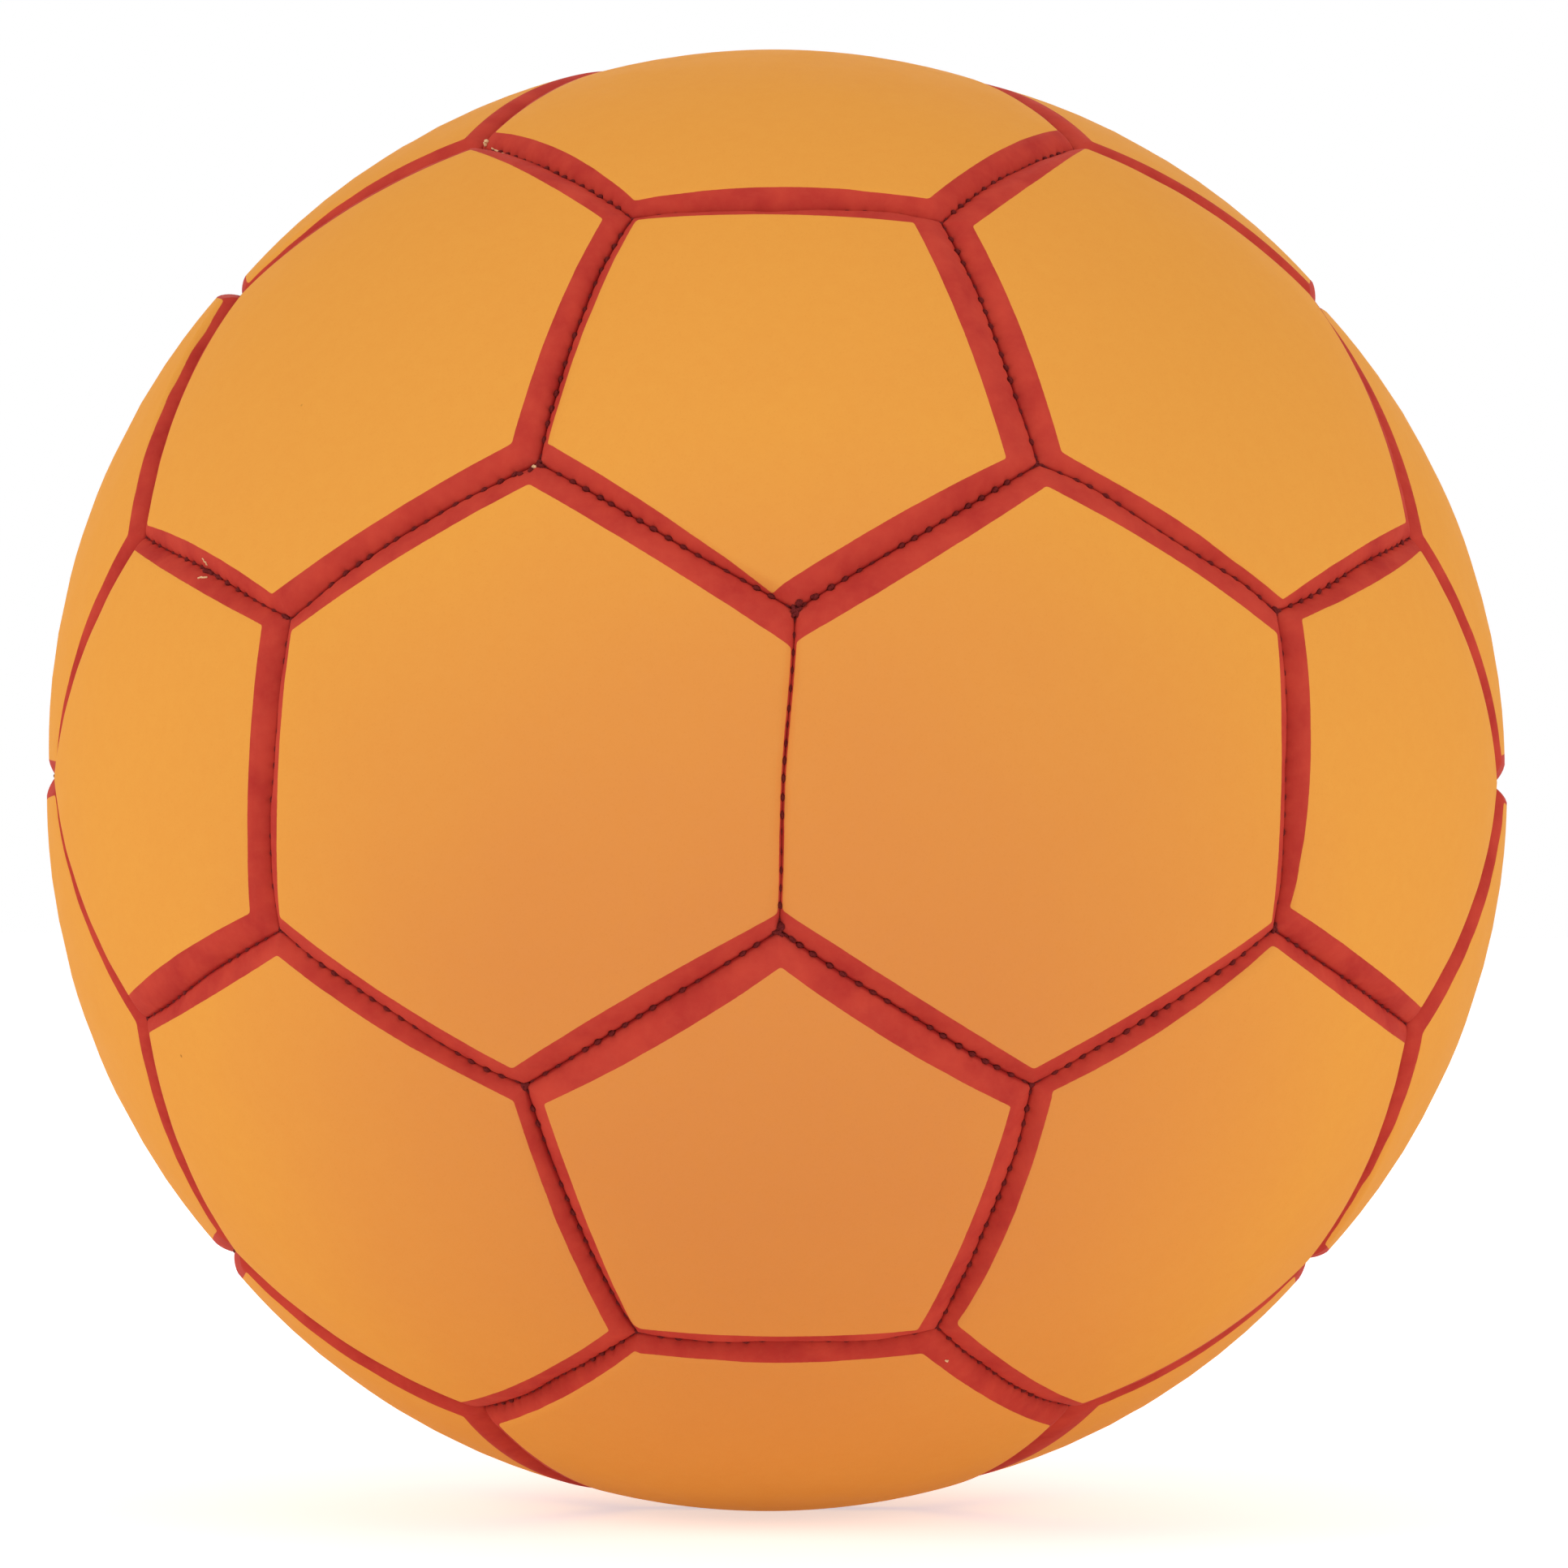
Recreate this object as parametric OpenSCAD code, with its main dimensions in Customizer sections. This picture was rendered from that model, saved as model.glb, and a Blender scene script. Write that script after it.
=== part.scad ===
// Machine-stitched handball: 12 pentagon and 20 hexagon cover panels with turned-in hems,
// foam pads and fabric backings behind them, an inflatable bladder and its needle valve.
// The ball's centre is the origin, +Z is up, and a seam between two hexagons faces -Y.

/* [Ball] */
// Diameter over the crowns of the panels
ball_d = 175; // [150:1:190]

/* [Cover] */
// Thickness of the cover skin and of its turned-in hem
skin_t = 1.3; // [0.8:0.1:1.6]
// Thickness of the foam pad under the skin
foam_t = 2.8; // [2:0.1:4]
// Thickness of the fabric backing under the foam
backing_t = 0.8; // [0.4:0.1:1.2]
// Glue line between two layers
glue_gap = 0.1; // [0.05:0.01:0.2]
// Radius of the rolled edge that leads into a seam
roll_r = 3; // [2.4:0.1:4]
// Gap between two hems that are sewn together
hem_gap = 0.1; // [0.06:0.02:0.3]
// Diameter of the seam thread
thread_d = 0.6; // [0.3:0.1:0.8]

/* [Bladder] */
// Wall of the bladder
bladder_t = 1.1; // [0.6:0.1:1.6]
// Gap between the bladder and the backings
bladder_gap = 0.1; // [0.05:0.01:0.3]

/* [Valve] */
// Outer diameter of the valve housing
housing_d = 8; // [7.2:0.2:11]
// Length of the housing, from its outer rim to its inner end
housing_l = 21; // [17:0.5:28]
// Depth of the housing's rim under the crown of its panel
housing_sink = 0.7; // [0.2:0.1:1]
// Gap round the housing in the layers that it passes
housing_gap = 0.15; // [0.1:0.05:0.5]
// Diameter of the flange that is bonded inside the bladder
flange_d = 30; // [20:1:40]
// Thickness of the flange and of the housing's inner end
flange_t = 1.2; // [0.8:0.1:2]
// Diameter of the core's head
head_d = 6; // [5.4:0.2:6.4]
// Height of the core's head, and of the bead at its inner end
head_h = 1.6; // [1:0.1:2.4]
// Diameter of the core's shank
shank_d = 4.6; // [4:0.2:5]
// Diameter of the bead that locks the core
bead_d = 5.6; // [5.2:0.2:6]
// Gap round the core in the housing
core_gap = 0.05; // [0.03:0.01:0.1]
// Diameter of the needle bore
needle_d = 2.2; // [1.8:0.1:2.6]
// Length of the needle bore
needle_l = 12; // [8:0.5:13]
// Diameter of the bore's flared mouth
mouth_d = 3.4; // [2.8:0.1:4]
// Width of the slit that closes behind the needle
slit_w = 0.12; // [0.08:0.02:0.3]
// Length of that slit, across the bore
slit_l = 1.6; // [1:0.1:1.6]

/* [Hidden] */
$fn = 96;
golden = (1 + sqrt(5)) / 2;
pentagon = 5;
hexagon = 6;
cut_over = 5;
// Slope of a rolled edge where it leaves the crown, and where it meets its neighbour
roll_top_angle = 10;
roll_foot_angle = 66;

ball_r = ball_d / 2;
backing_in_r = ball_r - skin_t - foam_t - backing_t - glue_gap;
backing_out_r = backing_in_r + backing_t;
foam_in_r = backing_out_r + glue_gap / 2;
foam_inset = skin_t + glue_gap / 2;
bladder_out_r = backing_in_r - bladder_gap;
bladder_in_r = bladder_out_r - bladder_t;

// Edge-length shares of the truncated icosahedron: its corner radius and edge-middle radius
corner_share = sqrt(9 * golden + 10) / 2;
middle_share = sqrt(pow(corner_share, 2) - 1 / 4);
function inradius_share(sides) = 1 / (2 * tan(180 / sides));

// Angle between a panel's axis and the plane of each of its seams
function seam_tilt(sides) = asin(inradius_share(sides) / middle_share);
// Half the angle that a seam spans, seen from the ball's centre
half_seam_angle = asin(1 / (2 * corner_share));

function unit(v) = v / norm(v);
signs = [-1, 1];
pentagon_axes = [
    for (a = signs, b = signs)
        each [[0, a * golden, b], [b, 0, a * golden], [a * golden, b, 0]]
];
// The valve sits in the hexagon just right of the seam at the back
valve_axis = [-1 / golden, golden, 0];
plain_axes = [
    for (a = signs, b = signs)
        each [[a / golden, b * golden, 0], [0, a / golden, b * golden], [b * golden, 0, a / golden]],
    for (a = signs, b = signs, c = signs)
        [a, b, c]
];
hexagon_axes = concat([for (v = plain_axes) if (v != valve_axis) v], [valve_axis]);
pentagon_list = [for (i = [1:len(pentagon_axes)]) i - 1];
hexagon_list = [for (i = [1:len(hexagon_axes)]) i - 1];
valve_index = len(hexagon_axes) - 1;

// Two panels share a seam if the angle between them is under two and a half tilts
function share_seam(a, b) = a != b && unit(a) * unit(b) > cos(2.5 * seam_tilt(hexagon));
function beside(axis, axes) = [for (v = axes) if (share_seam(v, axis)) v];

function two_digits(n) = str(n < 10 ? "0" : "", n);
function pentagon_name(i) = str("pentagon_panel_", two_digits(i + 1));
function hexagon_name(i) = i == valve_index ? "valve_panel" : str("hexagon_panel_", two_digits(i + 1));

// Turns +Z to an axis, with +X on the side of a second direction
module face_to(axis, side) {
    z = unit(axis);
    y = unit(cross(z, side));
    x = cross(y, z);
    multmatrix([[x.x, y.x, z.x, 0], [x.y, y.y, z.y, 0], [x.z, y.z, z.z, 0], [0, 0, 0, 1]]) children();
}

module at_pentagon(i) {
    face_to(pentagon_axes[i], beside(pentagon_axes[i], hexagon_axes)[0]) children();
}

module at_hexagon(i) {
    face_to(hexagon_axes[i], beside(hexagon_axes[i], pentagon_axes)[0]) children();
}

// Turns the frame to one seam of a panel that faces +Z: +X points to the seam's middle
// and +Z stands on the seam's plane, on the panel's side
module at_seam(sides, edge = 0) {
    rotate([0, 0, edge * 360 / sides]) rotate([0, seam_tilt(sides) - 90, 0]) children();
}

// Revolves a profile about the line on which a seam's plane stands, by an angle each way
module sweep_seam(angle) {
    rotate([0, 0, -angle]) rotate_extrude(angle = 2 * angle) children();
}

// Cuts the first child with the second at each of a panel's edges
module trim_edges(sides, edge = 0) {
    if (edge == sides)
        children(0);
    else
        intersection() {
            trim_edges(sides, edge + 1) {
                children(0);
                children(1);
            }
            at_seam(sides, edge) children(1);
        }
}

// Centre of the rolled edge's arc. X is the distance from the ball's centre along the seam's
// plane and Y the height over that plane. The arc meets the crown at the top angle.
roll_reach = sqrt(pow(ball_r, 2) + pow(roll_r, 2) - 2 * ball_r * roll_r * cos(roll_top_angle));
roll_y = hem_gap / 2 + roll_r * sin(roll_foot_angle);
roll_x = sqrt(pow(roll_reach, 2) - pow(roll_y, 2));

// The panel's side of a seam in cross-section: a flat hem that rolls over into the crown.
// The inset moves both inwards by the thickness of a layer.
module edge_profile(sides, inset) {
    wall_y = hem_gap / 2 + inset;
    across = 2.6 * seam_tilt(sides);
    far_side = [cos(across), sin(across)];
    difference() {
        polygon([[ball_r / 2, wall_y], [ball_d, wall_y], ball_d * far_side, ball_r / 2 * far_side]);
        difference() {
            polygon([[roll_x, roll_y], 3 * [roll_x, roll_y], [3 * roll_x, -roll_r], [roll_x, -roll_r]]);
            translate([roll_x, roll_y]) circle(r = roll_r - inset);
        }
    }
}

module shell(outer_r, inner_r) {
    difference() {
        sphere(r = outer_r);
        sphere(r = inner_r);
    }
}

// Solid panel with rolled edges, down to an inner radius
module panel_form(sides, inset, inner_r) {
    trim_edges(sides) {
        shell(ball_r - inset, inner_r);
        sweep_seam(2.4 * half_seam_angle) edge_profile(sides, inset);
    }
}

// Cover panel: a curved skin with its hem turned in all round
module cover_panel(sides) {
    difference() {
        panel_form(sides, 0, backing_in_r);
        panel_form(sides, skin_t, backing_in_r - cut_over);
    }
}

module foam_pad(sides) {
    panel_form(sides, foam_inset, foam_in_r);
}

// The backing lies below the rolled edges, so flat cuts bound it
module fabric_backing(sides) {
    trim_edges(sides) {
        shell(backing_out_r, backing_in_r);
        translate([0, -ball_r, hem_gap / 2 + foam_inset]) cube(ball_d);
    }
}

// Straight hole round the valve, through all that it passes
module valve_hole() {
    cylinder(d = housing_d + 2 * housing_gap, h = ball_d);
}

// Draws its child at a hexagon, and drills it at the valve
module drill_at_hexagon(i) {
    at_hexagon(i) difference() {
        children();
        if (i == valve_index) valve_hole();
    }
}

module pentagon_panel(i) {
    color("orange") at_pentagon(i) cover_panel(pentagon);
}

module hexagon_panel(i) {
    color("orange") drill_at_hexagon(i) cover_panel(hexagon);
}

module pentagon_foam_pads() {
    color("white") for (i = pentagon_list) at_pentagon(i) foam_pad(pentagon);
}

module hexagon_foam_pads() {
    color("white") for (i = hexagon_list) drill_at_hexagon(i) foam_pad(hexagon);
}

module pentagon_fabric_backings() {
    color("ivory") for (i = pentagon_list) at_pentagon(i) fabric_backing(pentagon);
}

module hexagon_fabric_backings() {
    color("ivory") for (i = hexagon_list) drill_at_hexagon(i) fabric_backing(hexagon);
}

// Thread at the foot of a seam. It rests on both rolled edges, and stops short of the corners
// where three seams meet.
module seam_thread(sides) {
    thread_x = roll_x + sqrt(pow(roll_r + thread_d / 2 + hem_gap / 2, 2) - pow(roll_y, 2));
    corner_angle = 180 / PI * thread_d / thread_x;
    at_seam(sides) sweep_seam(half_seam_angle - corner_angle) translate([thread_x, 0]) circle(d = thread_d);
}

module pentagon_seam_threads() {
    color("black")
        for (i = pentagon_list, hexagon_axis = beside(pentagon_axes[i], hexagon_axes))
            face_to(pentagon_axes[i], hexagon_axis) seam_thread(pentagon);
}

// A seam between two hexagons is drawn once, from the one that is listed first
module hexagon_seam_threads() {
    color("black")
        for (i = hexagon_list, j = hexagon_list)
            if (i < j && share_seam(hexagon_axes[i], hexagon_axes[j]))
                face_to(hexagon_axes[i], hexagon_axes[j]) seam_thread(hexagon);
}

module bladder() {
    color("dimgray") difference() {
        shell(bladder_out_r, bladder_in_r);
        at_hexagon(valve_index) valve_hole();
    }
}

valve_top = ball_r - housing_sink;
valve_foot = valve_top - housing_l;
core_foot = valve_foot + flange_t;
flange_r = bladder_in_r - glue_gap;

// Core without its bore, grown by the gap that its seat needs: a shank between a head and a bead
module core_body(gap) {
    translate([0, 0, valve_top - head_h - gap]) cylinder(d = head_d + 2 * gap, h = head_h + 2 * gap);
    translate([0, 0, core_foot]) cylinder(d = shank_d + 2 * gap, h = valve_top - core_foot);
    translate([0, 0, core_foot - gap]) cylinder(d = bead_d + 2 * gap, h = head_h + 2 * gap);
}

// Housing: a rubber tube with a flange that follows the inside of the bladder
module valve_housing() {
    color("black") at_hexagon(valve_index) difference() {
        union() {
            translate([0, 0, valve_foot]) cylinder(d = housing_d, h = housing_l);
            intersection() {
                shell(flange_r, flange_r - flange_t);
                cylinder(d = flange_d, h = ball_d);
            }
        }
        core_body(core_gap);
        translate([0, 0, valve_foot - cut_over]) cylinder(d = needle_d, h = housing_l);
    }
}

// Core: a rubber plug with a blind needle bore and a slit below it
module valve_core() {
    needle_foot = valve_top - needle_l;
    flare = mouth_d - needle_d;
    color("dimgray") at_hexagon(valve_index) difference() {
        core_body(0);
        translate([0, 0, needle_foot]) cylinder(d = needle_d, h = needle_l + cut_over);
        translate([0, 0, valve_top - flare / 2]) cylinder(d1 = needle_d, d2 = needle_d + 2 * flare, h = flare);
        translate([-slit_w / 2, -slit_l / 2, core_foot - cut_over])
            cube([slit_w, slit_l, needle_foot - core_foot + 2 * cut_over]);
    }
}

for (i = pentagon_list)
    pentagon_panel(i);
for (i = hexagon_list)
    hexagon_panel(i);
pentagon_foam_pads();
hexagon_foam_pads();
pentagon_fabric_backings();
hexagon_fabric_backings();
pentagon_seam_threads();
hexagon_seam_threads();
bladder();
valve_housing();
valve_core();
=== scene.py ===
"""Looks of a machine-stitched handball: 32 cover panels with rolled edges and a printed band at each seam.

The shape code works in millimetres, and MM turns them into Blender's metres.
"""

import math

import bpy
import numpy as np
from mathutils import Matrix, Vector


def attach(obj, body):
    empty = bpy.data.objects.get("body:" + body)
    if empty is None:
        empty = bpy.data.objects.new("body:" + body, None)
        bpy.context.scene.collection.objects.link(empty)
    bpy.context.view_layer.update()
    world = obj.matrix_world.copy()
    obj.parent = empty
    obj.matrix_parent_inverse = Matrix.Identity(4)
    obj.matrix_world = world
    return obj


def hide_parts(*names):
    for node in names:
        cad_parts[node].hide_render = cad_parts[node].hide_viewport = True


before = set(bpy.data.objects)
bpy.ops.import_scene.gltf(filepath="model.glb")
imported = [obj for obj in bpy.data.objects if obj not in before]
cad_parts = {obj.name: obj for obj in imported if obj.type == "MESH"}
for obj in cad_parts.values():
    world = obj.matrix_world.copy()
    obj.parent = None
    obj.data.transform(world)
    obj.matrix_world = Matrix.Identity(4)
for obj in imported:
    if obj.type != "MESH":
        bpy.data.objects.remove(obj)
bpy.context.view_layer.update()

MM = 0.001
SEED = 4711

# Sizes, in mm
BALL_R = 87.5
CROWN_R = 87.46  # the top of a panel's dome
DOME_SAG = 0.40  # how much lower a panel is at the middle of its edges
DOME_POWER = 2.3
SKIN_T = 1.3
HEM_R = 82.55  # inner end of a turned-in hem
HEM_Y = 0.012  # half the gap between two hems
FOOT_R = 85.62  # bottom of the groove of a seam
TIGHT_FOOT_R = 86.30  # bottom of the closed seam at the front
ROLL_W = 2.1  # width of a rolled edge, from the seam to the dome
TIGHT_ROLL_W = 1.0
ROLL_POWER = 1.32  # 2 is a round roll, 1 a flat slope
TIGHT_BAND_W = 0.24  # half the printed line at the closed seam
NO_BAND = 50.0  # distance from a printed band where there is none
STITCHES = 18  # on each seam
THREAD_R = 0.30
TIP = 0.6  # how far a thread's end stands out, in its radii
HOLE_R = 4.15  # hole round the valve

# The photograph's camera, in its pixels and in mm
PHOTO = 1932
FOCAL_PX = 9470.0
CENTRE_PX = (953.1, 959.25)
DISTANCE = 10.54 * BALL_R
SEEN_R = 86.4  # radius at which the places in the photograph are read
TURN_DEG = Vector((-0.519, 0.217, 0.952))  # the ball's turn before the photograph's camera

turn_angle = math.radians(TURN_DEG.length)
TURN = np.array(Matrix.Rotation(turn_angle, 3, TURN_DEG.normalized()))


def seen_at(px, py):
    """Direction from the ball's centre of the point that the photograph shows at a pixel."""
    ray = np.array([(px - CENTRE_PX[0]) / FOCAL_PX, 1.0, -(py - CENTRE_PX[1]) / FOCAL_PX])
    start = np.array([0.0, -DISTANCE, 0.0])
    a, b, c = ray @ ray, start @ ray, start @ start - SEEN_R * SEEN_R
    root = b * b - a * c
    t = (-b - math.sqrt(max(root, 0.0))) / a
    point = (start + t * ray) @ TURN
    return point / np.linalg.norm(point)


def pixel_of(direction):
    """Pixel of a point on the ball, and whether it faces the camera."""
    q = TURN @ (np.asarray(direction) * SEEN_R)
    depth = DISTANCE + q[1]
    return CENTRE_PX[0] + FOCAL_PX * q[0] / depth, CENTRE_PX[1] - FOCAL_PX * q[2] / depth, q[1] < 0


def unit(v):
    v = np.asarray(v, float)
    return v / np.linalg.norm(v, axis=-1, keepdims=True)


# The net of seams
GOLDEN = (1 + 5**0.5) / 2
SIGNS = (-1, 1)
pentagon_axes = []
for a in SIGNS:
    for b in SIGNS:
        pentagon_axes += [(0, a * GOLDEN, b), (b, 0, a * GOLDEN), (a * GOLDEN, b, 0)]
pentagon_axes = unit(pentagon_axes)
valve_axis = (-1 / GOLDEN, GOLDEN, 0)
hexagon_axes = []
for a in SIGNS:
    for b in SIGNS:
        hexagon_axes += [
            (a / GOLDEN, b * GOLDEN, 0),
            (0, a / GOLDEN, b * GOLDEN),
            (b * GOLDEN, 0, a / GOLDEN),
        ]
hexagon_axes += [(a, b, c) for a in SIGNS for b in SIGNS for c in SIGNS]
hexagon_axes = [v for v in hexagon_axes if v != valve_axis] + [valve_axis]
hexagon_axes = unit(hexagon_axes)

near = pentagon_axes @ pentagon_axes.T > 0.4  # neighbours: the cosine is 0.447
corner_id, corners = {}, []
for i in range(12):
    for j in range(12):
        if i != j and near[i, j]:
            corner_id[i, j] = len(corners)
            corners.append(unit(2 * pentagon_axes[i] + pentagon_axes[j]))
corners = np.array(corners)

# Seam corners where the photograph shows them, in its pixels
SEEN_CORNERS = [
    (980, 750), (960, 1148), (662, 568), (1282, 569), (778, 264), (1162, 269), (355, 761), (341, 1148),
    (645, 1340), (1274, 1340), (1577, 752), (1573, 1147), (784, 1647), (1156, 1641), (179, 676), (184, 1260),
    (1738, 663), (1726, 1272), (590, 180), (1320, 187), (605, 1738), (1318, 1734), (73, 964), (288, 363),
    (289, 1541), (1611, 1555), (1843, 972), (1617, 377),
]
FIRST_AT_OUTLINE = 23  # number of the first corner in the list that is at the ball's outline
MOST_MOVED, MOST_MOVED_AT_OUTLINE = 1.5, 1.0  # how far a corner may move from the net, in mm
# Seams that the photograph shows, by the numbers of their corners in the list above, counted from 1. Each has
# how far the crease sways to its left, as three sine parts in mm; the width of the printed band on its right
# and on its left, at its start, at its end and extra between them, in mm; then how dark the crease's line is
# and how plain its stitches are, from 0 to 1
SEEN_SEAMS = {
    (1, 2): ((-0.30, 0.06, 0.09), (-1.00, -1.00, 0.00), (-1.00, -1.00, 0.00), 0.2, 0.8),
    (1, 3): ((0.39, 0.07, -0.04), (-0.05, 2.18, 0.09), (3.82, 2.85, 0.10), 0.64, 0.8),
    (1, 4): ((-0.25, 0.04, 0.04), (3.24, 2.71, 0.58), (2.86, 1.78, 0.23), 0.74, 1.0),
    (3, 5): ((0.63, -0.12, 0.09), (0.69, 1.18, -0.04), (3.15, 2.43, 0.21), 0.8, 0.8),
    (4, 6): ((0.16, 0.12, 0.02), (2.59, 2.57, 0.00), (4.28, 4.18, 0.21), 0.78, 0.8),
    (5, 6): ((-0.53, -0.33, 0.33), (1.74, 2.22, 1.06), (1.56, 2.17, -0.01), 0.04, 0.0),
    (3, 7): ((-0.39, 0.03, 0.00), (3.05, 3.45, -0.44), (2.63, 2.34, 0.33), 0.72, 0.9),
    (7, 8): ((-0.30, 0.28, -0.14), (3.36, 3.42, -0.59), (1.60, 1.17, 0.58), 0.53, 0.4),
    (8, 9): ((-0.26, 0.16, -0.18), (2.17, 1.73, 0.00), (2.34, 1.92, 0.16), 0.55, 0.9),
    (2, 9): ((-0.28, 0.01, 0.03), (1.87, 2.54, 0.76), (3.23, 2.59, 0.42), 0.95, 0.7),
    (2, 10): ((-0.20, 0.04, -0.09), (2.94, 2.86, 0.52), (2.20, 1.78, 0.21), 1.0, 1.0),
    (4, 11): ((0.07, 0.10, 0.29), (3.02, 3.21, 0.14), (2.12, 1.27, -0.12), 0.52, 0.4),
    (11, 12): ((0.00, 0.11, 0.18), (1.23, 1.21, 0.86), (2.77, 0.82, 0.49), 0.24, 0.1),
    (12, 10): ((-0.24, 0.10, 0.04), (1.58, 2.33, 0.56), (0.90, 1.21, 0.15), 0.44, 1.0),
    (9, 13): ((-0.15, 0.05, -0.07), (1.37, 2.26, -0.08), (1.82, 0.17, 0.61), 0.96, 0.7),
    (10, 14): ((0.23, 0.19, 0.08), (2.40, 2.99, -0.02), (2.05, 1.25, 0.38), 0.62, 0.8),
    (13, 14): ((-0.12, 0.10, -0.38), (2.00, 2.95, -0.35), (2.04, 1.52, 0.87), 0.55, 0.5),
    (7, 15): ((-0.26, 0.04, 0.14), (1.19, 1.20, 1.15), (2.03, 1.74, 0.03), 0.52, 0.6),
    (8, 16): ((0.11, -0.18, 0.05), (3.10, 3.05, 0.45), (2.36, 1.62, 0.45), 0.95, 0.05),
    (11, 17): ((0.09, -0.17, -0.13), (1.84, 1.61, 0.41), (0.85, 1.80, 0.77), 0.51, 0.7),
    (12, 18): ((-0.30, 0.01, -0.02), (1.68, 2.16, 0.58), (2.91, 2.17, -0.12), 0.86, 0.3),
    (5, 19): ((-0.07, -0.01, -0.07), (1.27, 1.94, 0.56), (3.05, 1.88, 0.44), 0.31, 0.8),
    (6, 20): ((0.30, 0.12, 0.03), (3.30, 1.20, 0.90), (2.60, 2.80, 0.15), 0.46, 0.6),
    (13, 21): ((-0.29, -0.22, 0.07), (3.04, 2.91, 0.15), (1.13, 1.88, -0.19), 0.65, 0.7),
    (14, 22): ((-0.50, 0.11, -0.06), (3.13, 3.04, -0.13), (2.49, 1.96, 0.10), 0.74, 0.5),
    (15, 23): ((0.00, 0.00, 0.00), (1.70, 1.60, 0.10), (1.70, 1.60, 0.10), 0.5, 0.3),
    (16, 23): ((0.00, 0.00, 0.00), (1.70, 1.60, 0.10), (1.70, 1.60, 0.10), 0.5, 0.3),
    (19, 24): ((-0.20, 0.25, 0.00), (2.00, 1.05, 0.20), (2.80, 1.50, 0.70), 0.4, 0.3),
    (15, 24): ((0.40, -0.35, 0.00), (1.80, 1.80, 0.10), (2.00, 1.30, 0.10), 0.4, 0.3),
    (16, 25): ((0.00, 0.00, 0.00), (1.70, 1.60, 0.10), (1.70, 1.60, 0.10), 0.5, 0.3),
    (21, 25): ((0.00, 0.00, 0.00), (1.90, 1.80, 0.10), (1.90, 1.80, 0.10), 0.5, 0.3),
    (22, 26): ((0.00, 0.00, 0.00), (2.00, 1.60, 0.20), (2.50, 1.90, 0.40), 0.4, 0.3),
    (18, 26): ((0.40, -0.35, 0.00), (1.80, 1.60, 0.10), (1.90, 1.10, 0.10), 0.4, 0.3),
    (18, 27): ((0.00, 0.00, 0.00), (2.00, 1.80, 0.10), (2.00, 1.80, 0.10), 0.5, 0.3),
    (17, 27): ((0.00, 0.00, 0.00), (1.90, 2.10, 0.10), (1.90, 2.10, 0.10), 0.5, 0.3),
    (17, 28): ((0.32, -0.25, 0.00), (2.10, 2.00, 0.10), (3.00, 2.60, 0.20), 0.5, 0.3),
    (20, 28): ((0.00, 0.00, 0.00), (1.70, 1.70, 0.10), (2.60, 2.40, 0.20), 0.5, 0.3),
}
# Panels at the outline: how far each stands out and leans in two directions, in mm
LEANS = {
    "hexagon_panel_11": (-0.138, -0.181, 0.274),
    "pentagon_panel_11": (0.05, -0.214, 0.263),
    "hexagon_panel_04": (-0.022, -0.067, 0.13),
    "pentagon_panel_08": (0.094, -0.074, -0.101),
    "hexagon_panel_08": (0.122, -0.158, -0.426),
    "hexagon_panel_03": (-0.33, 0.065, -0.064),
    "pentagon_panel_02": (0.257, 0.11, 0.235),
    "hexagon_panel_02": (0.141, -0.015, 0.214),
    "pentagon_panel_05": (-0.318, -0.144, 0.042),
    "hexagon_panel_05": (0.192, 0.144, -0.196),
}
seen_corner = {}  # corner's number in the net to its number in the list
ideal_px = [pixel_of(c) for c in corners]
for label, (x, y) in enumerate(SEEN_CORNERS, 1):
    best = min((math.hypot(p[0] - x, p[1] - y), k) for k, p in enumerate(ideal_px) if p[2])[1]
    moved = unit(seen_at(x, y)) - corners[best]
    length = np.linalg.norm(moved) * BALL_R
    seen_corner[best] = label
    # a seam stays over the gap between the pads
    most = MOST_MOVED if label < FIRST_AT_OUTLINE else MOST_MOVED_AT_OUTLINE
    corners[best] = unit(corners[best] + moved * min(1.0, most / max(length, 1e-9)))


def ordered(ids, axis):
    """Corner numbers in counterclockwise order about an axis that points at the viewer."""
    axis = unit(axis)
    x = unit(np.cross(axis, (0.3, 0.2, 0.9)))
    y = np.cross(axis, x)
    return sorted(ids, key=lambda k: math.atan2(corners[k] @ y, corners[k] @ x))


panels = []
for i, axis in enumerate(pentagon_axes):
    ids = ordered([corner_id[i, j] for j in range(12) if (i, j) in corner_id], axis)
    panels.append({"node": f"pentagon_panel_{i + 1:02d}", "name": f"pentagon_cover_{i + 1:02d}", "ids": ids})
for i, axis in enumerate(hexagon_axes):
    three = np.argsort(-(pentagon_axes @ axis))[:3]
    ids = ordered([corner_id[a, b] for a in three for b in three if a != b], axis)
    last = i == len(hexagon_axes) - 1
    panels.append({
        "node": "valve_panel" if last else f"hexagon_panel_{i + 1:02d}",
        "name": "valve_cover" if last else f"hexagon_cover_{i + 1:02d}",
        "ids": ids,
        "hole": last,
    })
for number, panel in enumerate(panels):
    panel["number"] = number
    panel["axis"] = unit(corners[panel["ids"]].sum(0))


def waves(seed, lengths, sizes):
    """A smooth random function of a place in mm."""
    r = np.random.default_rng(seed)
    phases = r.uniform(0, 2 * math.pi, len(lengths))
    stretch = r.uniform(0.85, 1.15, len(lengths))

    def at(x):
        x = np.asarray(x, float)
        parts = zip(lengths, sizes, phases, stretch)
        return sum(s * np.sin(2 * math.pi * x / (w * g) + p) for w, s, p, g in parts)

    return at


def smooth(x):
    x = np.clip(x, 0, 1)
    return x * x * (3 - 2 * x)


# The numbers of a seam's panels, by the numbers of its corners, the lower one first
seams = {}
for panel in panels:
    ids = panel["ids"]
    for k, a in enumerate(ids):
        b = ids[(k + 1) % len(ids)]
        seams.setdefault((min(a, b), max(a, b)), []).append(panel["number"])


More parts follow.
